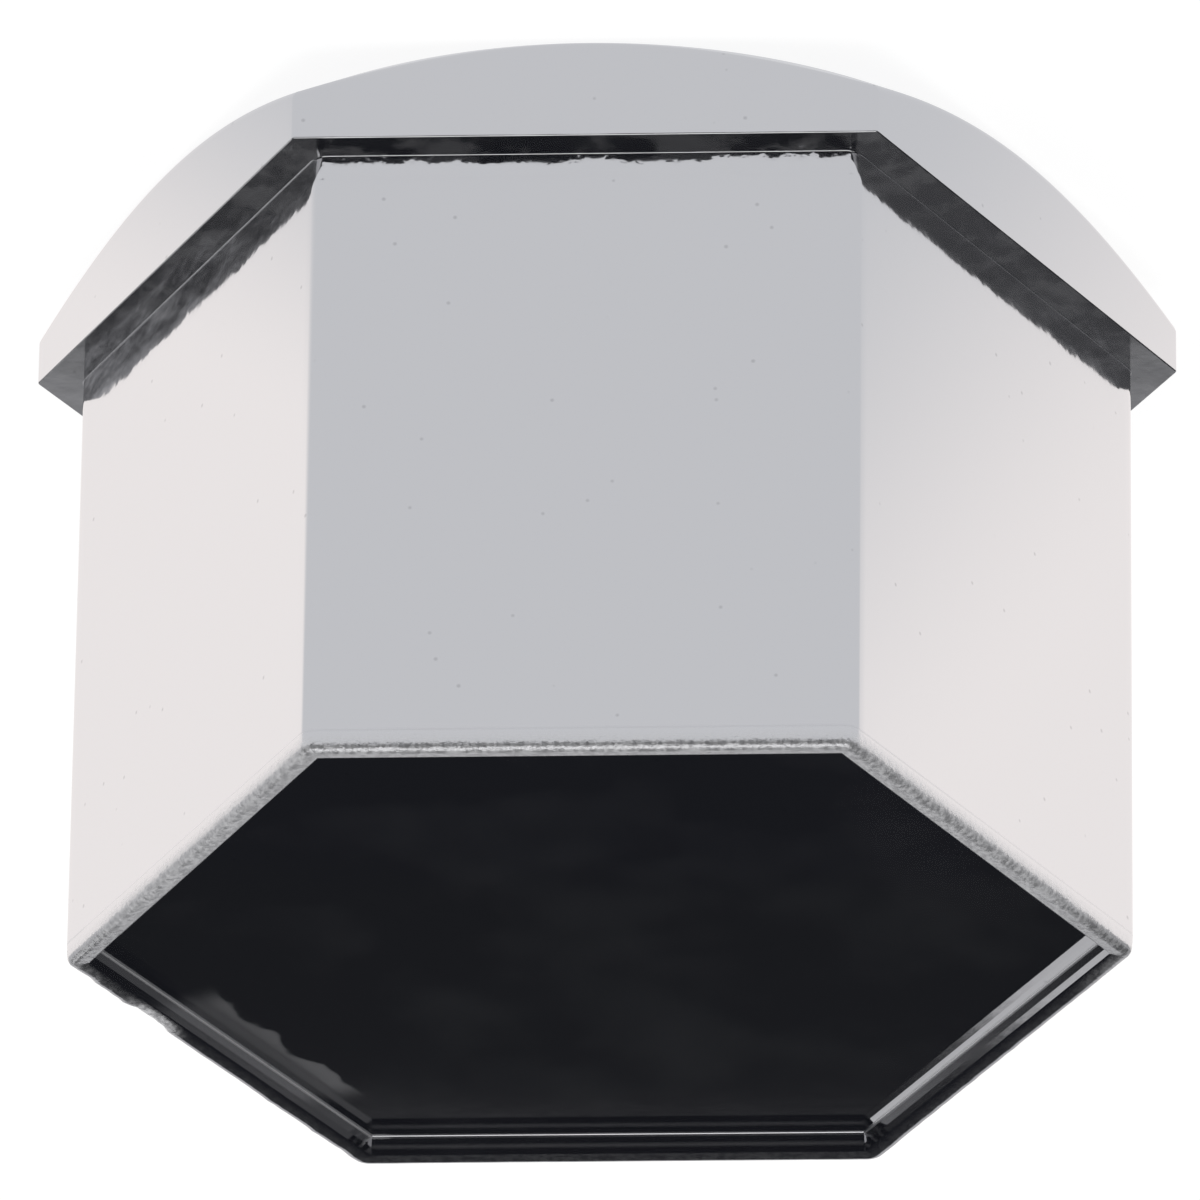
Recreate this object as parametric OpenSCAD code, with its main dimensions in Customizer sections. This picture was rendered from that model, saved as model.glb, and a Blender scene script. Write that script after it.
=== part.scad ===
// Wheel nut cover cap: a hexagonal cap, closed at one end, with a stepped collar round its mouth.
// It stands on its mouth with the closed end up, and the origin is the centre of the mouth.

/* [Nut socket] */
// Width across the flats of the wheel nut that the cap covers
nut_af = 19; // [17:0.5:24]
// Gap between each flat of the nut and the socket
nut_gap = 0.15; // [0.05:0.05:0.4]
// Radius of the upright inner corners of the socket
socket_corner_r = 0.4; // [0.1:0.1:1]
// Angle of the lead-in cone at the mouth, above the mouth plane
lead_angle = 40; // [30:1:60]
// How far the lead-in cone reaches outside the corners of the socket
lead_margin = 0.1; // [0.05:0.05:0.3]

/* [Grip ribs] */
// Height by which a grip rib stands out of its flat
rib_h = 0.2; // [0.1:0.05:0.4]
// Radius of the round face of a grip rib
rib_r = 0.6; // [0.4:0.1:1.5]
// Height of the lower end of the grip ribs above the mouth
rib_start = 4; // [3:0.5:8]

/* [Body] */
// Thickness of the side wall at the middle of a flat
wall = 1.3; // [0.8:0.1:2]
// Height of the body from the ledge of the collar to the crest of the rim
body_h = 15.65; // [12:0.05:30]
// Radius of the upright outer edges of the body
body_edge_r = 0.45; // [0.1:0.05:1.2]
// Radius of the fillet in the corner between the body and the ledge
ledge_fillet_r = 0.12; // [0.05:0.01:0.3]

/* [Collar] */
// Width of the ledge that the collar forms round the body
ledge_w = 0.9; // [0.5:0.05:2]
// Height of the collar from the mouth to the ledge
collar_h = 2.62; // [2:0.02:6]
// Radius of the upright edges of the collar
collar_edge_r = 0.12; // [0.05:0.01:0.5]
// Angle of the cone that trims the collar at the mouth, above the mouth plane
trim_angle = 34; // [20:1:45]
// Width of the flat ring at the mouth, between the lead-in and the trimming cone
land_w = 0.35; // [0.2:0.05:0.6]

/* [Closed end] */
// Thickness of the end wall under the floor of its recess
end_wall = 1.3; // [0.8:0.1:3]
// Radius of the outer edge of the rim
rim_edge_r = 0.22; // [0.05:0.01:0.4]
// Width of the rim, from the flat of the body to its inner edge
rim_w = 0.51; // [0.45:0.01:1]
// Drop of the rim's top from its crest to its inner edge
rim_drop = 0.06; // [0.02:0.01:0.15]
// Height of the upright wall below the rim's inner edge
recess_wall = 0.22; // [0.1:0.01:0.6]
// Height of the leaning foot of that wall, above the floor
foot_h = 0.27; // [0.1:0.01:0.6]
// Width of the leaning foot
foot_w = 0.03; // [0.01:0.01:0.1]

/* [Hidden] */
$fn = 48;

// Directions of the three pairs of opposite flats
flat_turns = [0, 60, 120];
// Directions of the six corners, the first on +X
corner_turns = [0, 60, 120, 180, 240, 300];
// Number of straight strips in a quarter of a rounded edge
edge_strips = 4;
// Overlap that makes a cut pass clear of the face that it opens
cut_through = 1;

socket_af = nut_af + 2 * nut_gap;
body_af = socket_af + 2 * wall;
collar_af = body_af + 2 * ledge_w;
cap_h = collar_h + body_h;
recess_d = rim_drop + recess_wall + foot_h;
socket_depth = cap_h - recess_d - end_wall;
lead_r = corner_radius(socket_af) + lead_margin;
mouth_r = lead_r + land_w;

// Distance from the axis to a sharp corner of a hexagon
function corner_radius(af) = af / 2 / cos(30);

// Points of a quarter round, each [half width, height], from an upright side up to a level top
function quarter_round(half_w, top, r) = [
    for (i = [0 : edge_strips])
        let (a = 90 * i / edge_strips)
        [half_w - r + r * cos(a), top - r + r * sin(a)]
];

// Points of a hollow quarter, each [half width, height], from a level ledge up to an upright side
function quarter_hollow(half_w, base, r) = [
    for (i = [0 : edge_strips])
        let (a = 90 * i / edge_strips)
        [half_w + r - r * sin(a), base + r - r * cos(a)]
];

// Flat hexagon with its corners rounded
module rounded_hexagon(af, r) {
    centre_r = corner_radius(af - 2 * r);
    polygon([
        for (turn = corner_turns, side = [-30, 30])
            centre_r * [cos(turn), sin(turn)] + r * [cos(turn + side), sin(turn + side)]
    ]);
    for (turn = corner_turns)
        rotate(turn)
            translate([centre_r, 0])
                circle(r);
}

// Upright hexagonal bar with rounded edges
module hexagonal_bar(af, r, h) {
    linear_extrude(height = h)
        rounded_hexagon(af, r);
}

// Solid with six alike sides, mitred at the corners. The profile lists [half width, height]
// from the bottom up, and is the outline of the solid across each pair of flats.
module six_sided(profile) {
    last = len(profile) - 1;
    widest = max([for (p = profile) p[0]]);
    across = concat(profile, [for (i = [last : -1 : 0]) [-profile[i][0], profile[i][1]]]);
    intersection_for (turn = flat_turns)
        rotate(turn)
            rotate([90, 0, 90])
                linear_extrude(height = 4 * widest, center = true)
                    polygon(across);
}

// Body of the cap, with the rounded outer edge of its rim
module body_block() {
    intersection() {
        hexagonal_bar(body_af, body_edge_r, cap_h);
        six_sided(concat([[body_af / 2, 0]], quarter_round(body_af / 2, cap_h, rim_edge_r)));
    }
}

// Fillet round the foot of the body, on the ledge
module ledge_fillet() {
    intersection() {
        hexagonal_bar(body_af + 2 * ledge_fillet_r, body_edge_r + ledge_fillet_r, cap_h);
        six_sided(concat([[body_af / 2 + ledge_fillet_r, 0]],
                         quarter_hollow(body_af / 2, collar_h, ledge_fillet_r)));
    }
}

// Cone that trims everything at the mouth, so that each flat of the collar ends in an arc
module mouth_cone() {
    cone_h = cap_h + cut_through;
    cylinder(h = cone_h, r1 = mouth_r, r2 = mouth_r + cone_h / tan(trim_angle));
}

// Outside of the cap: body, fillet and collar
module outside() {
    intersection() {
        union() {
            body_block();
            ledge_fillet();
            hexagonal_bar(collar_af, collar_edge_r, collar_h);
        }
        mouth_cone();
    }
}

// Recess in the closed end: the rim's sloping top, an upright wall with a leaning foot, and the floor
module end_recess() {
    rim_in = body_af / 2 - rim_w;
    crest = body_af / 2 - rim_edge_r;
    slope = rim_drop / (rim_w - rim_edge_r);
    translate([0, 0, cap_h - recess_d])
        six_sided([
            [rim_in - foot_w, 0],
            [rim_in, foot_h],
            [rim_in, foot_h + recess_wall],
            [crest, recess_d],
            [crest + cut_through, recess_d + cut_through * slope],
            [crest + cut_through, recess_d + cut_through]
        ]);
}

// Hexagonal socket for the nut, open at the mouth, with its conical lead-in
module nut_socket() {
    translate([0, 0, -cut_through])
        hexagonal_bar(socket_af, socket_corner_r, socket_depth + cut_through);
    translate([0, 0, -cut_through])
        cylinder(h = lead_r * tan(lead_angle) + cut_through,
                 r1 = lead_r + cut_through / tan(lead_angle), r2 = 0);
}

// Upright ribs, one at the middle of each socket flat, that grip the nut
module grip_ribs() {
    rib_centre = socket_af / 2 + rib_r - rib_h;
    for (turn = corner_turns)
        rotate(turn + 30)
            translate([rib_centre, 0, rib_start + rib_r]) {
                cylinder(h = cap_h, r = rib_r);
                sphere(rib_r);
            }
}

// The cap, moulded in one piece and plated all over
module cap() {
    color([0.75, 0.76, 0.78])
        difference() {
            outside();
            end_recess();
            difference() {
                nut_socket();
                grip_ribs();
            }
        }
}

cap();
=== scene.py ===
"""Looks of a chrome-plated wheel nut cover cap, built round its packed CAD model."""

import math

import bmesh
import bpy
from mathutils import Matrix, Quaternion, Vector, noise


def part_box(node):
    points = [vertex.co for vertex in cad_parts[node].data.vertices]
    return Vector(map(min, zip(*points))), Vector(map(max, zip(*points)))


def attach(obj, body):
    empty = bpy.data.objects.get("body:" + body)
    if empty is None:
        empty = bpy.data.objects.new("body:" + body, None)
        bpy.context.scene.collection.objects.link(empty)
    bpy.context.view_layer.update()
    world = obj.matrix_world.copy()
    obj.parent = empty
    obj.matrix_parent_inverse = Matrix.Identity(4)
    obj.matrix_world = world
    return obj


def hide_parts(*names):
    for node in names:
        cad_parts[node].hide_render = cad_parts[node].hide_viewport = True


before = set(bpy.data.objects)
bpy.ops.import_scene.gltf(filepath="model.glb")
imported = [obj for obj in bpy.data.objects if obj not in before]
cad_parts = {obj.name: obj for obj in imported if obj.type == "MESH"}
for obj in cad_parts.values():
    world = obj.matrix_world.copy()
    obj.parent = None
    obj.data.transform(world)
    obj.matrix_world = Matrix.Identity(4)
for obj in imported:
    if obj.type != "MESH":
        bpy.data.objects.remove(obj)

bl_info = {
    "name": "Wheel Nut Cover Cap",
    "version": (1, 0, 0),
    "blender": (4, 5, 0),
    "location": "View3D > Sidebar > Cover Cap",
    "description": "Builds a hexagonal chrome-plated wheel nut cover cap and its studio",
    "category": "Add Mesh",
}

MM = 0.001
CAD_LOW, CAD_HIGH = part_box("cap")
CAP_HEIGHT = CAD_HIGH.z
COLLAR_WIDTH = CAD_HIGH.y - CAD_LOW.y
# Half of the turn between two corners. The middles of the sides lie at its odd multiples.
HALF_CORNER = math.radians(30)
# Turn that a side's points keep to, with the points of the roundings at its two ends
SIDE_REACH = math.radians(31.4)
# Length of one side of the body
CAP_SIDE = 12.4 * MM
# Points along each straight side of a ring, and strips in each of its rounded corners
FLAT_CUTS = 50
CORNER_STRIPS = 6
# Corner radius of the rim's inner edge and of the recess
SHARP = 0.04 * MM
# Width of the strip of the rim's top beside its inner edge
LIP = 0.03 * MM
# Depth below the end of the first of two rings that keep the rim's wear off the flats
BROW_DEPTH = 0.5 * MM
# Angle between two faces above which their edge is left sharp
SHARP_FOLD = math.radians(28)
# The nicked side: its turn, the middle of the nick, and that middle's place along the side
NICKED_TURN = HALF_CORNER
NICK = Vector((10.92, 2.9, 18.2)) * MM
NICK_PLACE = -2.95 * MM
# The other side that is worn and has a wider rim
WORN_TURN = 5 * HALF_CORNER
# Sides with a wider rim: turn and extra width
WIDER_RIM = ((NICKED_TURN, 0.07 * MM), (WORN_TURN, 0.06 * MM))
# Wear of the rim's outer edge on the other sides: turn, seed, least depth and most depth
EDGE_WEAR = (
    (WORN_TURN, 11, 0.04 * MM, 0.07 * MM),
    (3 * HALF_CORNER, 21, 0, 0.012 * MM),
    (7 * HALF_CORNER, 31, 0, 0.012 * MM),
    (9 * HALF_CORNER, 41, 0, 0.012 * MM),
    (11 * HALF_CORNER, 51, 0, 0.012 * MM),
)
# Height above which a point belongs to the closed end
END_START = 17 * MM
FLOOR_RADIUS = 3.0
CARD_RADIUS = 110 * MM
CARD_HEIGHT = 75 * MM
# Soft lamps: name, place, aim, width, depth and radiance
SOFTBOXES = (
    ("front_softbox", (0, -0.080, 0.320), (0, -0.079, 0), 0.30, 0.21, 1.3),
    ("right_panel", (0.17, 0.25, 0.22), (0, 0, 0.018), 0.10, 0.10, 0.7),
    ("side_panel", (0.23, 0.13, 0.180), (0, 0, 0.018), 0.12, 0.10, 0.6),
)
# Names of the rings of edges that the cap is built from, from the recess round to the socket
RINGS = ("unnamed", "recess", "crease", "rim_in", "lip", "crest", "brow", "wall_top",
         "ledge_in", "ledge_out", "arch", "land_out", "land_in", "lead_end", "ceiling",
         "rib_foot")


class CapSizes(bpy.types.PropertyGroup):
    """Sizes of the cap, in metres"""

    body_width: bpy.props.FloatProperty(
        name="Body Width", description="Width of the body across its flats",
        default=21.9 * MM, subtype="DISTANCE", unit="LENGTH", precision=5)
    body_edge: bpy.props.FloatProperty(
        name="Body Edge", description="Radius of the upright edges of the body",
        default=0.45 * MM, subtype="DISTANCE", unit="LENGTH", precision=5)
    collar_height: bpy.props.FloatProperty(
        name="Collar Height", description="Height of the collar from the mouth to the ledge",
        default=2.62 * MM, subtype="DISTANCE", unit="LENGTH", precision=5)
    collar_edge: bpy.props.FloatProperty(
        name="Collar Edge", description="Radius of the upright edges of the collar",
        default=0.12 * MM, subtype="DISTANCE", unit="LENGTH", precision=5)
    ledge_edge: bpy.props.FloatProperty(
        name="Ledge Edge", description="Rounding of the outer edge of the ledge",
        default=0.03 * MM, subtype="DISTANCE", unit="LENGTH", precision=5)
    ledge_root: bpy.props.FloatProperty(
        name="Ledge Root", description="Fillet between the ledge and the body",
        default=0.025 * MM, subtype="DISTANCE", unit="LENGTH", precision=5)
    trim_angle: bpy.props.FloatProperty(
        name="Trim Angle", description="Slope of the cone that trims the collar at the mouth",
        default=math.radians(34), subtype="ANGLE", unit="ROTATION")
    trim_edge: bpy.props.FloatProperty(
        name="Trim Edge", description="Rounding of the collar's arched lower edge",
        default=0.16 * MM, subtype="DISTANCE", unit="LENGTH", precision=5)
    mouth_radius: bpy.props.FloatProperty(
        name="Mouth Radius", description="Outer radius of the flat ring at the mouth",
        default=11.593 * MM, subtype="DISTANCE", unit="LENGTH", precision=5)
    mouth_edge: bpy.props.FloatProperty(
        name="Mouth Edge", description="Rounding of the edges of the mouth and its lead-in",
        default=0.05 * MM, subtype="DISTANCE", unit="LENGTH", precision=5)


class RimSizes(bpy.types.PropertyGroup):
    """Sizes of the rim and the recess of the closed end, in metres"""

    edge: bpy.props.FloatProperty(
        name="Rim Edge", description="Rounding of the outer edge of the rim",
        default=0.25 * MM, subtype="DISTANCE", unit="LENGTH", precision=5)
    width: bpy.props.FloatProperty(
        name="Rim Width", description="Width of the rim from the body's flat to the step",
        default=0.51 * MM, subtype="DISTANCE", unit="LENGTH", precision=5)
    drop: bpy.props.FloatProperty(
        name="Rim Drop", description="Drop of the rim's top from its crest to its inner edge",
        default=0.06 * MM, subtype="DISTANCE", unit="LENGTH", precision=5)
    wall: bpy.props.FloatProperty(
        name="Recess Wall", description="Height of the upright wall below the inner edge",
        default=0.22 * MM, subtype="DISTANCE", unit="LENGTH", precision=5)
    foot_height: bpy.props.FloatProperty(
        name="Foot Height", description="Height of the wall's leaning foot",
        default=0.27 * MM, subtype="DISTANCE", unit="LENGTH", precision=5)
    foot_width: bpy.props.FloatProperty(
        name="Foot Width", description="Width of the wall's leaning foot",
        default=0.03 * MM, subtype="DISTANCE", unit="LENGTH", precision=5)
    floor_edge: bpy.props.FloatProperty(
        name="Floor Edge", description="Fillet between the wall's foot and the recess floor",
        default=0.02 * MM, subtype="DISTANCE", unit="LENGTH", precision=5)


class SocketSizes(bpy.types.PropertyGroup):
    """Sizes of the nut socket, in metres"""

    width: bpy.props.FloatProperty(
        name="Socket Width", description="Width of the socket across its flats",
        default=19.3 * MM, subtype="DISTANCE", unit="LENGTH", precision=5)
    corner: bpy.props.FloatProperty(
        name="Socket Corner", description="Radius of the upright corners of the socket",
        default=0.4 * MM, subtype="DISTANCE", unit="LENGTH", precision=5)
    depth: bpy.props.FloatProperty(
        name="Socket Depth", description="Depth of the socket from the mouth",
        default=16.42 * MM, subtype="DISTANCE", unit="LENGTH", precision=5)
    ceiling_edge: bpy.props.FloatProperty(
        name="Ceiling Edge", description="Fillet between the socket's flats and its end",
        default=0.1 * MM, subtype="DISTANCE", unit="LENGTH", precision=5)
    lead_radius: bpy.props.FloatProperty(
        name="Lead-in Radius", description="Radius of the lead-in cone at the mouth",
        default=11.243 * MM, subtype="DISTANCE", unit="LENGTH", precision=5)
    lead_angle: bpy.props.FloatProperty(
        name="Lead-in Angle", description="Slope of the lead-in cone",
        default=math.radians(40), subtype="ANGLE", unit="ROTATION")
    rib_height: bpy.props.FloatProperty(
        name="Rib Height", description="Height of a grip rib on its flat",
        default=0.2 * MM, subtype="DISTANCE", unit="LENGTH", precision=5)
    rib_radius: bpy.props.FloatProperty(
        name="Rib Radius", description="Radius of the round face of a grip rib",
        default=0.6 * MM, subtype="DISTANCE", unit="LENGTH", precision=5)
    rib_start: bpy.props.FloatProperty(
        name="Rib Start", description="Height of the lower end of the ribs above the mouth",
        default=4 * MM, subtype="DISTANCE", unit="LENGTH", precision=5)


class PlatingFinish(bpy.types.PropertyGroup):
    """Colour and polish of the chrome plating"""

    chrome: bpy.props.StringProperty(
        name="Chrome", description="Colour of the chrome, as sRGB hex", default="E6E6E8")
    pits: bpy.props.StringProperty(
        name="Pits", description="Colour in the plating's pits, as sRGB hex", default="A0A0A2")
    roughness: bpy.props.FloatProperty(
        name="Roughness", description="Roughness of the clean chrome",
        default=0.05, subtype="FACTOR", min=0, max=1)


class StudioSettings(bpy.types.PropertyGroup):
    """Floor, light and camera of the studio"""

    floor_white: bpy.props.StringProperty(
        name="Floor White", description="Colour of the floor, as sRGB hex", default="FFFFFF")
    floor_glow: bpy.props.StringProperty(
        name="Floor Glow", description="Colour of the floor that the sides mirror, as sRGB hex",
        default="FFFAF8")
    # Painted shade: the darker tone of the glow that the plating sees on the floor before the
    # cap.
    floor_painted_shade: bpy.props.StringProperty(
        name="Floor Front", description="Colour of the floor before the cap, as sRGB hex",
        default="D4D5D8")
    dark: bpy.props.StringProperty(
        name="Dark Room", description="Colour of the unlit room, as sRGB hex",
        default="1B1C20")
    lens: bpy.props.FloatProperty(
        name="Lens", description="Focal length in millimetres",
        default=492.8, subtype="DISTANCE_CAMERA", unit="CAMERA")
    distance: bpy.props.FloatProperty(
        name="Distance", description="Distance from the camera to the aim point",
        default=391.2 * MM, subtype="DISTANCE", unit="LENGTH")
    azimuth: bpy.props.FloatProperty(
        name="Azimuth", description="Turn of the camera round the cap",
        default=0.04904, subtype="ANGLE", unit="ROTATION")
    elevation: bpy.props.FloatProperty(
        name="Elevation", description="Angle of the camera above the floor",
        default=0.48617, subtype="ANGLE", unit="ROTATION")
    roll: bpy.props.FloatProperty(
        name="Roll", description="Roll of the camera, which is held upside down",
        default=math.pi + 0.01297, subtype="ANGLE", unit="ROTATION")
    aim_height: bpy.props.FloatProperty(
        name="Aim Height", description="Height of the point that the camera aims at",
        default=8.645 * MM, subtype="DISTANCE", unit="LENGTH", precision=5)
    aim_side: bpy.props.FloatProperty(
        name="Aim Side", description="Distance of the aim point beside the middle of the frame",
        default=0.0845 * MM, subtype="DISTANCE", unit="LENGTH", precision=5)


def linear(code):
    """Linear colour with alpha of an sRGB hex code."""
    def channel(value):
        return value / 12.92 if value <= 0.04045 else ((value + 0.055) / 1.055) ** 2.4
    return tuple(channel(int(code[i:i + 2], 16) / 255) for i in (0, 2, 4)) + (1.0,)


def add_node(tree, kind, settings=None, **links):
    """Adds a node. Settings name its properties or its input sockets, or number a socket. Links
    name a socket, or in1 for the socket with number 1, and give the output that feeds it, or a
    node for that node's first output."""
    node = tree.nodes.new(kind)
    for name, value in (settings or {}).items():
        if isinstance(name, str) and hasattr(node, name):
            setattr(node, name, value)
        else:
            node.inputs[name].default_value = value
    for name, source in links.items():
        key = int(name[2:]) if name[:2] == "in" and name[2:].isdigit() else name.replace("_", " ")
        output = source.outputs[0] if isinstance(source, bpy.types.Node) else source
        tree.links.new(output, node.inputs[key])
    return node


def start_material(name):
    """New material and its empty node tree."""
    material = bpy.data.materials.new(name)
    material.use_nodes = True
    material.node_tree.nodes.clear()
    return material, material.node_tree


def add_object(name, bm):
    """Object in the scene with the mesh of a finished bmesh."""
    mesh = bpy.data.meshes.new(name)
    bm.to_mesh(mesh)
    bm.free()
    made = bpy.data.objects.new(name, mesh)
    bpy.context.scene.collection.objects.link(made)
    return made


def recess_heights(rim):
    """Heights of the crease in the recess's wall and of its floor."""
    crease = CAP_HEIGHT - rim.drop - rim.wall
    return crease, crease - rim.foot_height


def ring_edges(bm, name):
    """Edges of the ring with this name."""
    layer = bm.edges.layers.int["ring"]
    return [e for e in bm.edges if e[layer] == RINGS.index(name)]


def ring_points(bm, name):
    """Vertices of the ring with this name."""
    return list({v: None for e in ring_edges(bm, name) for v in e.verts})


def name_ring(bm, edges, name):
    """Gives these edges the name of a ring."""
    layer = bm.edges.layers.int["ring"]
    for e in edges:
        e[layer] = RINGS.index(name)


def add_hexagon(bm, name, half_width, corner, height):
    """Adds a level ring: a hexagon with rounded corners, two of them on +X and -X."""
    place = Matrix.Translation((0, 0, height)) @ Matrix.Rotation(HALF_CORNER, 4, "Z")
    made = bmesh.ops.create_circle(
        bm, cap_ends=True, segments=6, radius=half_width / math.cos(HALF_CORNER), matrix=place)
    made = bmesh.ops.bevel(
        bm, geom=made["verts"], affect="VERTICES", offset=corner * math.tan(HALF_CORNER),
        offset_type="OFFSET", segments=CORNER_STRIPS, profile=0.5, material=-1)
    bmesh.ops.delete(bm, geom=list(made["verts"][0].link_faces), context="FACES_ONLY")
    flats = [e for e in ring_edges(bm, "unnamed") if e.calc_length() > half_width / 2]
    bmesh.ops.subdivide_edges(bm, edges=flats, cuts=FLAT_CUTS)
    name_ring(bm, ring_edges(bm, "unnamed"), name)


def add_circle_under(bm, name, hexagon, radius):
    """Adds a ring at the mouth: the points of a hexagon, moved out or in to a level circle."""
    made = bmesh.ops.duplicate(bm, geom=ring_edges(bm, hexagon) + ring_points(bm, hexagon))
    name_ring(bm, [e for e in made["geom"] if isinstance(e, bmesh.types.BMEdge)], name)
    for v in ring_points(bm, name):
        v.co = v.co.xy.normalized().to_3d() * radius


def lift_to_cone(bm, name, radius, slope):
    """Raises a ring's points onto a cone that has this radius at the mouth."""
    for v in ring_points(bm, name):
        v.co.z = (v.co.xy.length - radius) * slope


def join_rings(bm, names):
    """Bridges each ring to the next one."""
    for first, second in zip(names, names[1:]):
        bmesh.ops.bridge_loops(bm, edges=ring_edges(bm, first) + ring_edges(bm, second))


def round_ring(bm, name, radius, strips):
    """Rounds the edge along a ring."""
    bmesh.ops.bevel(
        bm, geom=ring_edges(bm, name) + ring_points(bm, name), affect="EDGES", offset=radius,
        offset_type="OFFSET", segments=strips, profile=0.5, clamp_overlap=True, material=-1,
        face_strength_mode="AFFECTED")


def draw_in(bm, names, turn, depth_at):
    """Moves one side of these rings inward. The side faces the direction with this turn, and
    depth_at gives the depth at a place along it, in metres from its middle towards a larger
    turn."""
    out = Vector((math.cos(turn), math.sin(turn), 0))
    along = Vector((-math.sin(turn), math.cos(turn), 0))
    for name in names:
        for v in ring_points(bm, name):
            flat = v.co.xy.to_3d()
            if flat.angle(out) < SIDE_REACH:
                place = flat.dot(along)
                share = max(-1, min(1, place / (CAP_SIDE / 2)))
                v.co += (along * share * math.tan(HALF_CORNER) - out) * depth_at(place)


def add_rib(bm, socket, turn):
    """Adds one upright grip rib, half sunk in the socket's wall, with a rounded lower end."""
    out = socket.width / 2 + socket.rib_radius - socket.rib_height
    place = Matrix.Rotation(turn, 4, "Z") @ Matrix.Translation((out, 0, socket.rib_start))
    made = bmesh.ops.create_circle(
        bm, cap_ends=True, segments=24, radius=socket.rib_radius, matrix=place)
    foot = made["verts"][0].link_faces[0]
    name_ring(bm, foot.edges, "rib_foot")
    raised = bmesh.ops.extrude_face_region(bm, geom=[foot], use_keep_orig=True)
    top = [v for v in raised["geom"] if isinstance(v, bmesh.types.BMVert)]
    name_ring(bm, [e for v in top for e in v.link_edges], "unnamed")
    bmesh.ops.translate(
        bm, verts=top, vec=(0, 0, socket.depth + socket.rib_radius - socket.rib_start))


def uneven_depth(seed, least, most):
    """Depth of wear at each place along a side, with waves of 1.6 mm and grain of 0.4 mm."""
    def depth(place):
        wave = noise.noise(Vector((place / (1.6 * MM), seed, 0)))
        grain = noise.noise(Vector((place / (0.4 * MM), seed + 7, 0)))
        return max(0, least + (most - least) * (0.5 + 0.7 * wave + 0.6 * grain))
    return depth


def nicked_depth(place):
    """Depth of wear along the nicked side, where the round nick is 1.6 mm long."""
    nick = max(0, 1 - ((place - NICK_PLACE) / (0.8 * MM)) ** 2)
    return uneven_depth(3, 0.02 * MM, 0.09 * MM)(place) + 0.13 * MM * nick ** 0.5


def wear_rim(bm):
    """Makes the rim a little wider on two sides, wears its outer edge unevenly, and nicks it."""
    for turn, extra in WIDER_RIM:
        draw_in(bm, ["lip", "rim_in", "crease", "recess"], turn, lambda place: extra)
    draw_in(bm, ["crest"], NICKED_TURN, nicked_depth)
    for turn, seed, least, most in EDGE_WEAR:
        draw_in(bm, ["crest"], turn, uneven_depth(seed, least, most))


def mark_beads(bm, body, rim):
    """Writes how beaded the plating is: on the rim's top and rounded edge, fading from the
    front to the back, and most of all within 1.3 mm of the nick."""
    layer = bm.verts.layers.float.new("beads")
    flats = [Vector((math.cos(k * HALF_CORNER), math.sin(k * HALF_CORNER), 0)) for k in (1, 3, 5)]
    for v in bm.verts:
        width = max(abs(v.co.dot(flat)) for flat in flats)
        if v.co.z > CAP_HEIGHT - rim.edge * 1.04 and width > body - rim.width + LIP / 2:
            nick = 1 - (v.co - NICK).length / (1.3 * MM)
            front = (2 * MM - v.co.y) / (5 * MM)
            v[layer] = 0.08 + 0.92 * max(0, min(1, front)) + 2 * max(0, nick)


def settle_order(bm):
    """Orders points, edges and faces by their place, so that every run gives the same order. The
    operators' own order varies from run to run."""
    def middle(element):
        points = [element] if isinstance(element, bmesh.types.BMVert) else element.verts
        return tuple(sum((v.co for v in points), Vector()))

    for elements in (bm.verts, bm.edges, bm.faces):
        for rank, element in enumerate(sorted(elements, key=middle)):
            element.index = rank
        elements.sort()


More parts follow.
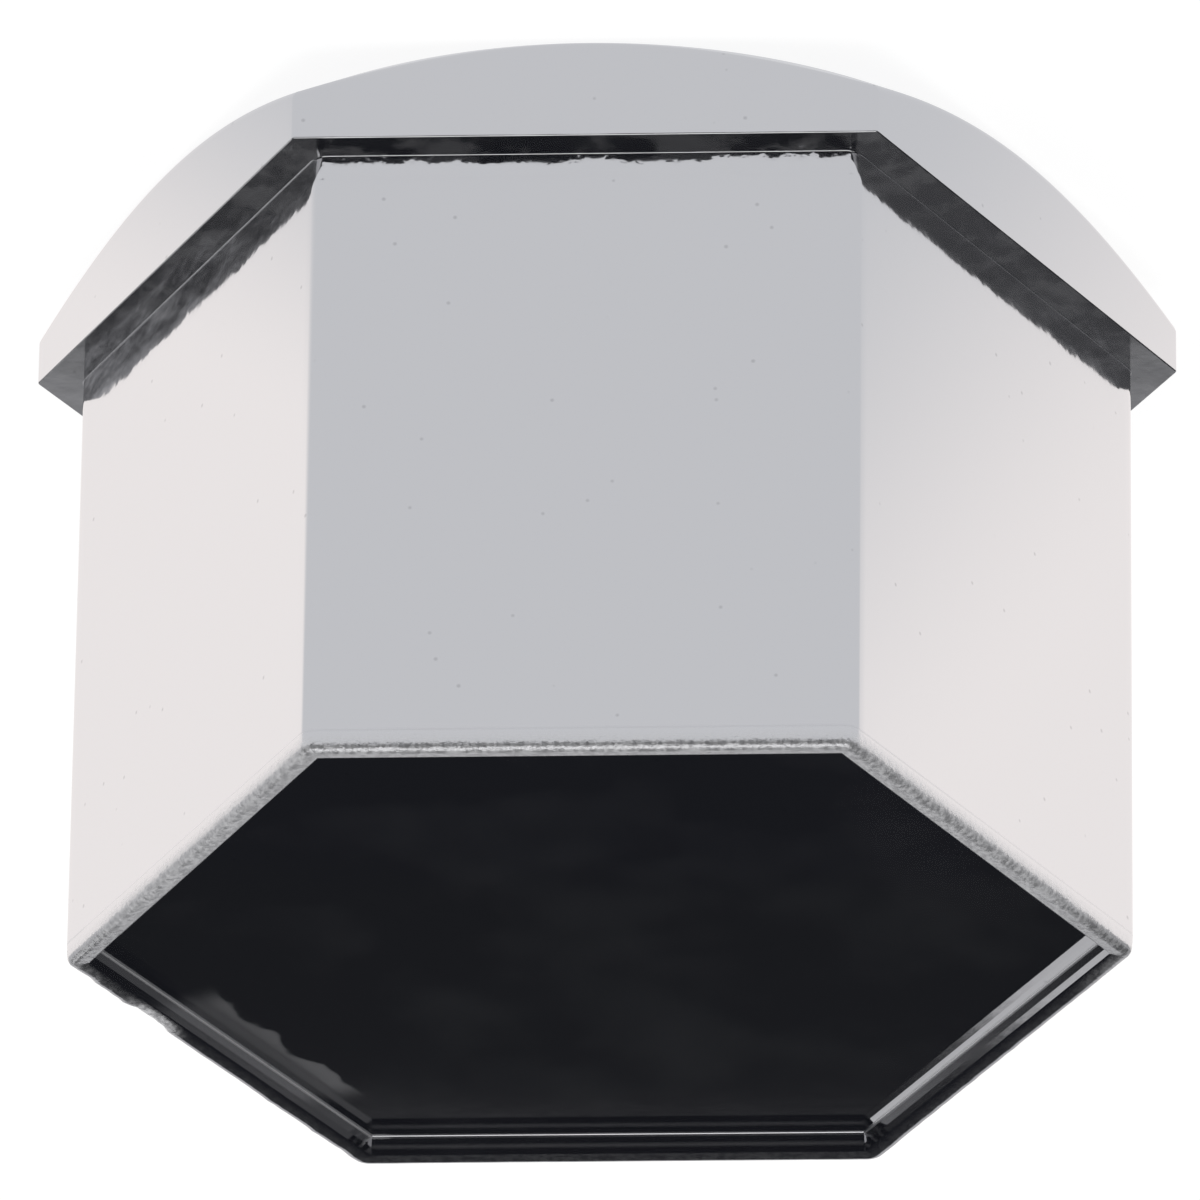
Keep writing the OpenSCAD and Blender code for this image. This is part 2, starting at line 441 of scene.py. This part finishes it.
def build_cap(sizes, rim, socket):
    """Mesh object of the whole cap."""
    bm = bmesh.new()
    bm.edges.layers.int.new("ring")
    body, collar = sizes.body_width / 2, COLLAR_WIDTH / 2
    slope = rim.drop / (rim.width - rim.edge)
    rim_in, rim_z = body - rim.width, CAP_HEIGHT - rim.drop
    crease_z, floor_z = recess_heights(rim)
    ledge_z = sizes.collar_height

    add_hexagon(bm, "arch", collar, sizes.collar_edge, 0)
    lift_to_cone(bm, "arch", sizes.mouth_radius, math.tan(sizes.trim_angle))
    add_circle_under(bm, "land_out", "arch", sizes.mouth_radius)
    add_hexagon(bm, "ledge_out", collar, sizes.collar_edge, ledge_z)
    add_hexagon(bm, "ledge_in", body, sizes.body_edge, ledge_z)
    add_hexagon(bm, "brow", body, sizes.body_edge, CAP_HEIGHT - BROW_DEPTH)
    add_hexagon(bm, "wall_top", body, sizes.body_edge, CAP_HEIGHT - 2 * BROW_DEPTH)
    # The rim's sloping top reaches the full height where the rounding of its crest starts.
    add_hexagon(bm, "crest", body, sizes.body_edge, CAP_HEIGHT + rim.edge * slope * 0.65)
    add_hexagon(bm, "lip", rim_in + LIP, SHARP, rim_z + LIP * slope)
    add_hexagon(bm, "rim_in", rim_in, SHARP, rim_z)
    add_hexagon(bm, "crease", rim_in, SHARP, crease_z)
    add_hexagon(bm, "recess", rim_in - rim.foot_width, SHARP, floor_z)
    add_hexagon(bm, "lead_end", socket.width / 2, socket.corner, 0)
    lift_to_cone(bm, "lead_end", socket.lead_radius, -math.tan(socket.lead_angle))
    add_circle_under(bm, "land_in", "lead_end", socket.lead_radius)
    add_hexagon(bm, "ceiling", socket.width / 2, socket.corner, socket.depth)

    wear_rim(bm)
    # From the recess floor over the rim, down the outside, round the mouth and up the socket.
    join_rings(bm, ["recess", "crease", "rim_in", "lip", "crest", "brow", "wall_top", "ledge_in",
                    "ledge_out", "arch", "land_out", "land_in", "lead_end", "ceiling"])
    for name in ("recess", "ceiling"):
        bmesh.ops.contextual_create(bm, geom=ring_edges(bm, name))
    for k in range(6):
        add_rib(bm, socket, HALF_CORNER * (2 * k + 1))
    bmesh.ops.recalc_face_normals(bm, faces=bm.faces)

    round_ring(bm, "crest", rim.edge, 8)
    round_ring(bm, "ledge_in", sizes.ledge_root, 4)
    round_ring(bm, "ledge_out", sizes.ledge_edge, 4)
    round_ring(bm, "arch", sizes.trim_edge, 5)
    round_ring(bm, "recess", rim.floor_edge, 4)
    for name in ("land_out", "land_in", "lead_end"):
        round_ring(bm, name, sizes.mouth_edge, 3)
    round_ring(bm, "ceiling", socket.ceiling_edge, 3)
    round_ring(bm, "rib_foot", socket.rib_radius * 0.9, 6)
    for face in bm.faces:
        face.smooth = True
    for e in bm.edges:
        e.smooth = e.calc_face_angle() < SHARP_FOLD
    for e in ring_edges(bm, "crease"):
        e.smooth = False
    mark_beads(bm, body, rim)
    settle_order(bm)

    piece = add_object("cover_cap", bm)
    # The faces that the roundings meet keep them flat, and the roundings shade into them.
    even = piece.modifiers.new("flat_faces", "WEIGHTED_NORMAL")
    even.mode = "CORNER_ANGLE"
    even.use_face_influence = True
    even.keep_sharp = True
    return piece


def place_on_cap(tree, sizes, rim):
    """Outputs that tell the plating's nodes where a point lies on the cap and what it faces."""
    coordinates = add_node(tree, "ShaderNodeTexCoord")
    place = coordinates.outputs["Object"]
    apart = add_node(tree, "ShaderNodeSeparateXYZ", Vector=place)
    facing = add_node(tree, "ShaderNodeSeparateXYZ", Vector=coordinates.outputs["Normal"])
    height, ledge = apart.outputs["Z"], sizes.collar_height
    towards = add_node(tree, "ShaderNodeMath", {"operation": "MULTIPLY", 1: -1.0},
                       in0=facing.outputs["Y"])
    above = add_node(tree, "ShaderNodeMapRange",
                     {"From Min": ledge - 0.03 * MM, "From Max": ledge - 0.01 * MM}, Value=height)
    near = add_node(tree, "ShaderNodeMapRange",
                    {"interpolation_type": "SMOOTHSTEP", "From Min": ledge + 0.6 * MM,
                     "From Max": ledge + 1.6 * MM, "To Min": 1.0, "To Max": 0.0}, Value=height)
    beside = add_node(tree, "ShaderNodeMath", {"operation": "MULTIPLY"}, in0=near, in1=above)
    floor_z = recess_heights(rim)[1]
    low = add_node(tree, "ShaderNodeMapRange",
                   {"From Min": floor_z + 0.02 * MM, "From Max": floor_z + 0.04 * MM,
                    "To Min": 1.0, "To Max": 0.0}, Value=height)
    at_end = add_node(tree, "ShaderNodeMath", {"operation": "GREATER_THAN", 1: END_START},
                      in0=height)
    on_floor = add_node(tree, "ShaderNodeMath", {"operation": "MULTIPLY"}, in0=low, in1=at_end)
    nicked_side = add_node(tree, "ShaderNodeVectorMath", {"operation": "DOT_PRODUCT"}, in0=place)
    nicked_side.inputs[1].default_value = (math.cos(NICKED_TURN), math.sin(NICKED_TURN), 0)
    # Beads of plating about 0.25 mm across, built up where the mesh says so.
    beads = add_node(tree, "ShaderNodeTexNoise",
                     {"Scale": 1 / (0.13 * MM), "Detail": 3.0, "Roughness": 0.6}, Vector=place)
    beaded = add_node(tree, "ShaderNodeAttribute", {"attribute_name": "beads"})
    return {"place": place, "y": apart.outputs["Y"], "height": height, "towards": towards,
            "level": facing.outputs["Z"], "above_ledge": above, "beside_ledge": beside,
            "on_floor": on_floor, "nicked_side": nicked_side.outputs["Value"],
            "beads": beads, "beaded": beaded.outputs["Fac"]}


def plating_relief(tree, at, sizes):
    """Relief of the plating, from the finest to the coarsest."""
    # Orange peel: dimples about 0.6 mm across.
    peel = add_node(tree, "ShaderNodeTexNoise",
                    {"Scale": 1 / (0.6 * MM), "Detail": 3.0, "Roughness": 0.5},
                    Vector=at["place"])
    fine = add_node(tree, "ShaderNodeBump", {"Strength": 1.0, "Distance": 0.0006 * MM},
                    Height=peel)

    # Sink waves about 1.4 mm across, on the flats beside the ledge and much less on the ledge.
    wave = add_node(tree, "ShaderNodeTexNoise",
                    {"Scale": 1 / (1.4 * MM), "Detail": 3.5, "Roughness": 0.45},
                    Vector=at["place"])
    upright = add_node(tree, "ShaderNodeMapRange",
                       {"From Min": 0.2, "From Max": 0.7, "To Min": 1.0, "To Max": 0.1},
                       Value=at["level"])
    waved = add_node(tree, "ShaderNodeMath", {"operation": "MULTIPLY"},
                     in0=at["beside_ledge"], in1=upright)
    waves = add_node(tree, "ShaderNodeMath", {"operation": "MULTIPLY"}, in0=wave, in1=waved)
    sunk = add_node(tree, "ShaderNodeBump", {"Strength": 1.0, "Distance": 0.04 * MM},
                    Height=waves, Normal=fine)

    # The foot of the front flat leans out over its last 0.6 mm, more at some places than others.
    foot = add_node(tree, "ShaderNodeMapRange",
                    {"From Min": sizes.collar_height, "From Max": sizes.collar_height + 0.58 * MM,
                     "To Min": 1.0, "To Max": 0.0}, Value=at["height"])
    patches = add_node(tree, "ShaderNodeTexNoise",
                       {"Scale": 1 / (1.6 * MM), "Detail": 4.0, "Roughness": 0.5},
                       Vector=at["place"])
    spread = add_node(tree, "ShaderNodeMapRange",
                      {"From Min": 0.35, "From Max": 0.6, "To Min": 0.8, "To Max": 1.15},
                      Value=patches)
    front = add_node(tree, "ShaderNodeMapRange", {"From Min": 0.75, "From Max": 0.95},
                     Value=at["towards"])
    lean = add_node(tree, "ShaderNodeMath", {"operation": "MULTIPLY"}, in0=foot, in1=spread)
    for limit in (front, at["above_ledge"]):
        lean = add_node(tree, "ShaderNodeMath", {"operation": "MULTIPLY"}, in0=lean, in1=limit)
    footed = add_node(tree, "ShaderNodeBump", {"Strength": 1.0, "Distance": 0.098 * MM},
                      Height=lean, Normal=sunk)

    bead = add_node(tree, "ShaderNodeMath", {"operation": "MULTIPLY"},
                    in0=at["beads"], in1=at["beaded"])
    return add_node(tree, "ShaderNodeBump", {"Strength": 1.0, "Distance": 0.035 * MM},
                    Height=bead, Normal=footed)


def dull_patch(tree, at):
    """Share of dulling in a patch with a ragged edge on the recess floor, by the nicked side."""
    ragged = add_node(tree, "ShaderNodeTexNoise",
                      {"Scale": 1 / (2.2 * MM), "Detail": 3.0, "Roughness": 0.5},
                      Vector=at["place"])
    shift = add_node(tree, "ShaderNodeMapRange",
                     {"From Min": 0.3, "From Max": 0.7, "To Min": -0.45 * MM,
                      "To Max": 0.45 * MM}, Value=ragged)
    reach = add_node(tree, "ShaderNodeMath", {"operation": "ADD"},
                     in0=at["nicked_side"], in1=shift)
    across = add_node(tree, "ShaderNodeMapRange",
                      {"interpolation_type": "SMOOTHSTEP", "From Min": 9.25 * MM,
                       "From Max": 9.45 * MM}, Value=reach)
    along = add_node(tree, "ShaderNodeVectorMath", {"operation": "DOT_PRODUCT"}, in0=at["place"])
    along.inputs[1].default_value = (-math.sin(NICKED_TURN), math.cos(NICKED_TURN), 0)
    from_middle = add_node(tree, "ShaderNodeMath", {"operation": "SUBTRACT", 1: 0.7 * MM},
                           in0=along.outputs["Value"])
    distance = add_node(tree, "ShaderNodeMath", {"operation": "ABSOLUTE"}, in0=from_middle)
    ends = add_node(tree, "ShaderNodeMapRange",
                    {"interpolation_type": "SMOOTHSTEP", "From Min": 2.4 * MM,
                     "From Max": 3.6 * MM, "To Min": 1.0, "To Max": 0.0}, Value=distance)
    patch = add_node(tree, "ShaderNodeMath", {"operation": "MULTIPLY"}, in0=across, in1=ends)
    return add_node(tree, "ShaderNodeMath", {"operation": "MULTIPLY"},
                    in0=patch, in1=at["on_floor"])


def floor_seam(tree, at, rim):
    """Strength of the narrow dull seam round the recess floor's edge, which also carries a
    painted highlight.
    """
    floor_z = recess_heights(rim)[1]
    lower = add_node(tree, "ShaderNodeMapRange",
                     {"From Min": floor_z + 0.001 * MM, "From Max": floor_z + 0.005 * MM,
                      "To Max": 0.3}, Value=at["height"])
    upper = add_node(tree, "ShaderNodeMapRange",
                     {"From Min": floor_z + 0.05 * MM, "From Max": floor_z + 0.08 * MM,
                      "To Min": 1.0, "To Max": 0.0}, Value=at["height"])
    return add_node(tree, "ShaderNodeMath", {"operation": "MULTIPLY"}, in0=lower, in1=upper)


def plating_haze_and_highlights(tree, at, rim, dull, seam):
    """Share of matt pale grey in the plating, summed over the places that have lost polish and
    over two painted highlights.
    """
    # Where it is beaded, the plating is partly burnt, and less on the faces towards the front.
    grains = add_node(tree, "ShaderNodeMapRange",
                      {"From Min": 0.4, "From Max": 0.62, "To Min": 0.22, "To Max": 0.6},
                      Value=at["beads"])
    burnt = add_node(tree, "ShaderNodeMath", {"operation": "MULTIPLY"},
                     in0=grains, in1=at["beaded"])
    bare = add_node(tree, "ShaderNodeMapRange",
                    {"From Min": 0.3, "From Max": 0.9, "To Min": 1.0, "To Max": 0.6},
                    Value=at["towards"])
    haze = add_node(tree, "ShaderNodeMath", {"operation": "MULTIPLY"}, in0=burnt, in1=bare)

    # The ledge is clouded in streaks.
    clouds = add_node(tree, "ShaderNodeTexNoise",
                      {"Scale": 1 / (1.1 * MM), "Detail": 5.0, "Roughness": 0.65},
                      Vector=at["place"])
    cloud = add_node(tree, "ShaderNodeMapRange",
                     {"From Min": 0.45, "From Max": 0.58, "To Max": 0.07}, Value=clouds)
    flat = add_node(tree, "ShaderNodeMapRange", {"From Min": 0.8, "From Max": 0.95},
                    Value=at["level"])
    on_ledge = add_node(tree, "ShaderNodeMath", {"operation": "MULTIPLY"},
                        in0=flat, in1=at["beside_ledge"])

    # A painted highlight: a pale line along the crease in the recess's wall that faces the front.
    crease_z = recess_heights(rim)[0]
    lower = add_node(tree, "ShaderNodeMapRange",
                     {"From Min": crease_z - 0.08 * MM, "From Max": crease_z},
                     Value=at["height"])
    upper = add_node(tree, "ShaderNodeMapRange",
                     {"From Min": crease_z, "From Max": crease_z + 0.08 * MM,
                      "To Min": 1.0, "To Max": 0.0}, Value=at["height"])
    crease = add_node(tree, "ShaderNodeMath", {"operation": "MULTIPLY"}, in0=lower, in1=upper)
    crease_highlight = add_node(tree, "ShaderNodeMapRange",
                     {"From Min": 0.9, "From Max": 0.98, "To Max": 0.08}, Value=at["towards"])
    behind = add_node(tree, "ShaderNodeMath", {"operation": "GREATER_THAN", 1: 9 * MM},
                      in0=at["y"])
    crease_highlight = add_node(tree, "ShaderNodeMath", {"operation": "MULTIPLY"}, in0=crease_highlight, in1=behind)

    # The seam is lighter along the nicked side: a painted highlight.
    seam_highlight = add_node(tree, "ShaderNodeMapRange",
                     {"From Min": 9.9 * MM, "From Max": 10.1 * MM, "To Max": 0.9},
                     Value=at["nicked_side"])

    # Very faint broad smears lie on the recess floor.
    smears = add_node(tree, "ShaderNodeTexNoise",
                      {"Scale": 1 / (5 * MM), "Detail": 5.0, "Roughness": 0.6},
                      Vector=at["place"])
    smear = add_node(tree, "ShaderNodeMapRange",
                     {"From Min": 0.48, "From Max": 0.68, "To Max": 0.008}, Value=smears)

    # The sum holds the real haze and the painted highlights along the crease and the seam.
    haze = add_node(tree, "ShaderNodeMath", {"operation": "MULTIPLY_ADD", 1: 0.045},
                    in0=dull, in2=haze)
    for share, strength in ((on_ledge, cloud), (crease, crease_highlight), (seam, seam_highlight),
                            (at["on_floor"], smear)):
        haze = add_node(tree, "ShaderNodeMath", {"operation": "MULTIPLY_ADD"},
                        in0=share, in1=strength, in2=haze)
    return haze


def chrome_plating(finish, sizes, rim):
    """Electroplated chrome on moulded ABS: a bright, slightly blue-grey mirror. The plating
    follows the moulding's fine orange peel, which frays the edges of what it reflects, and it is
    wavier in the corner by the ledge, where the plastic sank and the plating is uneven."""
    material, tree = start_material("chrome_plated_abs")
    at = place_on_cap(tree, sizes, rim)
    dull = dull_patch(tree, at)
    seam = floor_seam(tree, at, rim)

    # Shallow pin-prick pits in the plating, about 0.07 mm across.
    pits = add_node(tree, "ShaderNodeTexVoronoi",
                    {"Scale": 1 / (0.9 * MM), "Randomness": 1.0}, Vector=at["place"])
    pit = add_node(tree, "ShaderNodeMapRange",
                   {"interpolation_type": "SMOOTHSTEP", "From Min": 0.02, "From Max": 0.08,
                    "To Min": 0.35, "To Max": 0.0}, Value=pits)
    colour = add_node(tree, "ShaderNodeMix",
                      {"data_type": "RGBA", 6: linear(finish.chrome), 7: linear(finish.pits)},
                      in0=pit)

    # The polish is duller a little beside the ledge, on the beaded rim, on the patch and along
    # the seam.
    clean = add_node(tree, "ShaderNodeMapRange",
                     {"To Min": finish.roughness, "To Max": 0.1}, Value=at["beside_ledge"])
    edge = add_node(tree, "ShaderNodeMapRange", {"To Max": 0.34},
                    Value=at["beaded"], To_Min=clean)
    patch = add_node(tree, "ShaderNodeMapRange", {"To Max": 0.16}, Value=dull, To_Min=edge)
    polish = add_node(tree, "ShaderNodeMath", {"operation": "MAXIMUM"}, in0=patch, in1=seam)

    # Less metal where the plating is hazy and where its highlights are painted.
    metal = add_node(tree, "ShaderNodeMath", {"operation": "SUBTRACT", 0: 1.0},
                     in1=plating_haze_and_highlights(tree, at, rim, dull, seam))
    shader = add_node(tree, "ShaderNodeBsdfPrincipled", Base_Color=colour.outputs[2],
                      Roughness=polish, Metallic=metal, Normal=plating_relief(tree, at, sizes))
    add_node(tree, "ShaderNodeOutputMaterial", Surface=shader)
    return material


def paper_sweep(studio):
    """White paper floor. The lens sees it lit to white. The plating sees a painted glow instead,
    white behind the cap and a little darker in front with painted shade. It still takes the cap's
    soft shadow."""
    material, tree = start_material("white_paper_sweep")
    place = add_node(tree, "ShaderNodeTexCoord").outputs["Object"]
    apart = add_node(tree, "ShaderNodeSeparateXYZ", Vector=place)
    path = add_node(tree, "ShaderNodeLightPath")
    # The painted shade runs across the floor at a slight slant.
    slanted = add_node(tree, "ShaderNodeMath", {"operation": "MULTIPLY_ADD", 1: 0.16},
                       in0=apart.outputs["X"], in2=apart.outputs["Y"])
    back = add_node(tree, "ShaderNodeMapRange",
                    {"interpolation_type": "SMOOTHSTEP", "From Min": -12 * MM,
                     "From Max": 3 * MM}, Value=slanted)
    tone = add_node(tree, "ShaderNodeMix",
                    {"data_type": "RGBA", 6: linear(studio.floor_painted_shade),
                     7: linear(studio.floor_glow)}, in0=back)
    # The plating sees this painted glow instead of the lit paper, with painted shade in front.
    mirrored = add_node(tree, "ShaderNodeEmission", {"Strength": 1.0}, Color=tone.outputs[2])
    paper = add_node(tree, "ShaderNodeBsdfDiffuse", {"Color": linear("8A8A8A")})
    glow = add_node(tree, "ShaderNodeEmission",
                    {"Color": linear(studio.floor_white), "Strength": 0.85})
    lit = add_node(tree, "ShaderNodeAddShader", in0=paper, in1=glow)
    plain = add_node(tree, "ShaderNodeBsdfDiffuse", {"Color": linear("E7E7E7")})
    seen = add_node(tree, "ShaderNodeMixShader", in0=path.outputs["Is Camera Ray"],
                    in1=plain, in2=lit)
    shiny = add_node(tree, "ShaderNodeMath", {"operation": "MAXIMUM"},
                     in0=path.outputs["Is Glossy Ray"], in1=path.outputs["Is Transmission Ray"])
    shown = add_node(tree, "ShaderNodeMixShader", in0=shiny, in1=seen, in2=mirrored)
    # From below the floor is clear, so that the mouth can be looked into.
    sides = add_node(tree, "ShaderNodeNewGeometry")
    clear = add_node(tree, "ShaderNodeBsdfTransparent")
    both = add_node(tree, "ShaderNodeMixShader", in0=sides.outputs["Backfacing"],
                    in1=shown, in2=clear)
    add_node(tree, "ShaderNodeOutputMaterial", Surface=both)
    return material


def painted_light_card():
    """Glowing card: painted light low down as if lit from below, painted shade above. Only the
    plating sees it.
    """
    material, tree = start_material("card_painted_light")
    place = add_node(tree, "ShaderNodeTexCoord").outputs["Object"]
    apart = add_node(tree, "ShaderNodeSeparateXYZ", Vector=place)
    # The card's painted shadow line is lower at both sides, and most on the -X side.
    right = add_node(tree, "ShaderNodeMapRange",
                     {"interpolation_type": "SMOOTHSTEP", "From Min": 20 * MM,
                      "From Max": 80 * MM, "To Max": 6 * MM}, Value=apart.outputs["X"])
    left = add_node(tree, "ShaderNodeMapRange",
                    {"interpolation_type": "SMOOTHSTEP", "From Min": -80 * MM,
                     "From Max": -20 * MM, "To Min": 1.0, "To Max": 0.0},
                    Value=apart.outputs["X"])
    lower = add_node(tree, "ShaderNodeMath", {"operation": "MULTIPLY_ADD", 1: 9 * MM},
                     in0=left, in2=right)
    level = add_node(tree, "ShaderNodeMath", {"operation": "ADD"},
                     in0=apart.outputs["Z"], in1=lower)
    lit = add_node(tree, "ShaderNodeMapRange",
                   {"interpolation_type": "SMOOTHSTEP", "From Min": 55 * MM,
                    "From Max": 68 * MM, "To Min": 1.0, "To Max": 0.0}, Value=level)
    # The painted light is dimmer on the -X side.
    dim = add_node(tree, "ShaderNodeMapRange", {"To Min": 1.0, "To Max": 0.6}, Value=left)
    pale = add_node(tree, "ShaderNodeMath", {"operation": "MULTIPLY"}, in0=lit, in1=dim)
    # Above the line the sides keep a little painted light, lighter than the back.
    side_left = add_node(tree, "ShaderNodeMath", {"operation": "MULTIPLY", 1: 0.12}, in0=left)
    sides = add_node(tree, "ShaderNodeMath", {"operation": "MULTIPLY_ADD", 1: 4.0},
                     in0=right, in2=side_left)
    painted_light_share = add_node(tree, "ShaderNodeMath", {"operation": "MAXIMUM"}, in0=pale, in1=sides)
    tone = add_node(tree, "ShaderNodeMix",
                    {"data_type": "RGBA", 6: linear("1C1D20"), 7: linear("B0B0B2")}, in0=painted_light_share)
    glow = add_node(tree, "ShaderNodeEmission", {"Strength": 1.0}, Color=tone.outputs[2])
    add_node(tree, "ShaderNodeOutputMaterial", Surface=glow)
    return material


def build_floor(studio):
    """Round floor under the cap."""
    bm = bmesh.new()
    bmesh.ops.create_circle(bm, cap_ends=True, segments=96, radius=FLOOR_RADIUS)
    floor = add_object("floor", bm)
    floor.data.materials.append(paper_sweep(studio))


def build_card():
    """Card that stands round the back and the sides of the cap, open towards the lens."""
    bm = bmesh.new()
    bmesh.ops.create_cone(
        bm, cap_ends=False, segments=96, radius1=CARD_RADIUS, radius2=CARD_RADIUS,
        depth=CARD_HEIGHT, matrix=Matrix.Translation((0, 0, CARD_HEIGHT / 2)))
    front = [f for f in bm.faces if f.calc_center_median().y < -0.35 * CARD_RADIUS]
    bmesh.ops.delete(bm, geom=front, context="FACES")
    card = add_object("card", bm)
    card.data.materials.append(painted_light_card())
    card.visible_camera = card.visible_diffuse = card.visible_shadow = False


def build_world(studio):
    """A dark room. The lens sees it white, and matt surfaces get an even fill from it."""
    world = bpy.data.worlds.new("dark_studio")
    bpy.context.scene.world = world
    world.use_nodes = True
    tree = world.node_tree
    tree.nodes.clear()
    path = add_node(tree, "ShaderNodeLightPath")
    mirrored = add_node(tree, "ShaderNodeBackground",
                        {"Color": linear(studio.dark), "Strength": 1.0})
    fill = add_node(tree, "ShaderNodeBackground", {"Color": linear("FFFFFF"), "Strength": 0.6})
    white = add_node(tree, "ShaderNodeBackground", {"Color": linear("FFFFFF"), "Strength": 1.0})
    shiny = add_node(tree, "ShaderNodeMath", {"operation": "MAXIMUM"},
                     in0=path.outputs["Is Glossy Ray"], in1=path.outputs["Is Transmission Ray"])
    matt = add_node(tree, "ShaderNodeMixShader", in0=shiny, in1=fill, in2=mirrored)
    seen = add_node(tree, "ShaderNodeMixShader", in0=path.outputs["Is Camera Ray"],
                    in1=matt, in2=white)
    add_node(tree, "ShaderNodeOutputWorld", Surface=seen)


def add_softbox(name, place, aim, width, depth, radiance):
    """Rectangular soft lamp of even radiance, which the lens doesn't see."""
    lamp = bpy.data.lights.new(name, "AREA")
    lamp.shape = "RECTANGLE"
    lamp.size, lamp.size_y = width, depth
    lamp.energy = radiance * math.pi * width * depth
    holder = bpy.data.objects.new(name, lamp)
    holder.location = place
    holder.rotation_mode = "QUATERNION"
    holder.rotation_quaternion = (Vector(aim) - Vector(place)).to_track_quat("-Z", "Y")
    holder.visible_camera = False
    bpy.context.scene.collection.objects.link(holder)


def place_camera(studio):
    """Long lens that looks down on the closed end, held upside down as in the photograph."""
    data = bpy.data.cameras.new("camera")
    data.lens = studio.lens
    data.sensor_width = 36.0
    data.clip_start, data.clip_end = 0.01, 20.0
    camera = bpy.data.objects.new("camera", data)
    bpy.context.scene.collection.objects.link(camera)
    level = math.cos(studio.elevation)
    back = Vector((-math.sin(studio.azimuth) * level, -math.cos(studio.azimuth) * level,
                   math.sin(studio.elevation)))
    turn = back.to_track_quat("Z", "Y") @ Quaternion((0, 0, 1), studio.roll)
    camera.rotation_mode = "QUATERNION"
    camera.rotation_quaternion = turn
    beside = turn @ Vector((1, 0, 0))
    camera.location = (Vector((0, 0, studio.aim_height)) + back * studio.distance
                       - beside * studio.aim_side)
    bpy.context.scene.camera = camera


class COVERCAP_OT_cap(bpy.types.Operator):
    """Build the chrome-plated cap in place of its CAD node"""

    bl_idname = "covercap.cap"
    bl_label = "Cap"

    def execute(self, context):
        scene = context.scene
        piece = build_cap(scene.covercap_sizes, scene.covercap_rim, scene.covercap_socket)
        piece.data.materials.append(chrome_plating(
            scene.covercap_finish, scene.covercap_sizes, scene.covercap_rim))
        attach(piece, "root")
        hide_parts("cap")
        return {"FINISHED"}


class COVERCAP_OT_studio(bpy.types.Operator):
    """Build the floor, the light and the camera"""

    bl_idname = "covercap.studio"
    bl_label = "Studio"

    def execute(self, context):
        studio = context.scene.covercap_studio
        build_floor(studio)
        build_card()
        build_world(studio)
        for softbox in SOFTBOXES:
            add_softbox(*softbox)
        place_camera(studio)
        context.scene.view_settings.view_transform = "Standard"
        return {"FINISHED"}


class COVERCAP_PT_panel(bpy.types.Panel):
    """Sidebar panel with the cap's settings and operators"""

    bl_idname = "COVERCAP_PT_panel"
    bl_label = "Cover Cap"
    bl_space_type = "VIEW_3D"
    bl_region_type = "UI"
    bl_category = "Cover Cap"

    def draw(self, context):
        for kind, owner in SETTINGS.items():
            box = self.layout.box()
            box.label(text=kind.__doc__)
            for name in kind.__annotations__:
                box.prop(getattr(context.scene, owner), name)
        for operator in OPERATORS:
            self.layout.operator(operator.bl_idname)


SETTINGS = {
    CapSizes: "covercap_sizes",
    RimSizes: "covercap_rim",
    SocketSizes: "covercap_socket",
    PlatingFinish: "covercap_finish",
    StudioSettings: "covercap_studio",
}
OPERATORS = (COVERCAP_OT_cap, COVERCAP_OT_studio)


def register():
    """Registers the settings, the operators and the panel."""
    for kind, owner in SETTINGS.items():
        bpy.utils.register_class(kind)
        setattr(bpy.types.Scene, owner, bpy.props.PointerProperty(type=kind))
    for kind in (*OPERATORS, COVERCAP_PT_panel):
        bpy.utils.register_class(kind)


def unregister():
    """Takes back what register did, in the opposite order."""
    for kind in (COVERCAP_PT_panel, *reversed(OPERATORS)):
        bpy.utils.unregister_class(kind)
    for kind, owner in SETTINGS.items():
        delattr(bpy.types.Scene, owner)
        bpy.utils.unregister_class(kind)


def main():
    """Builds the cap and its studio."""
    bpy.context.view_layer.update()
    register()
    bpy.ops.covercap.cap()
    bpy.ops.covercap.studio()


if __name__ == "__main__":
    main()
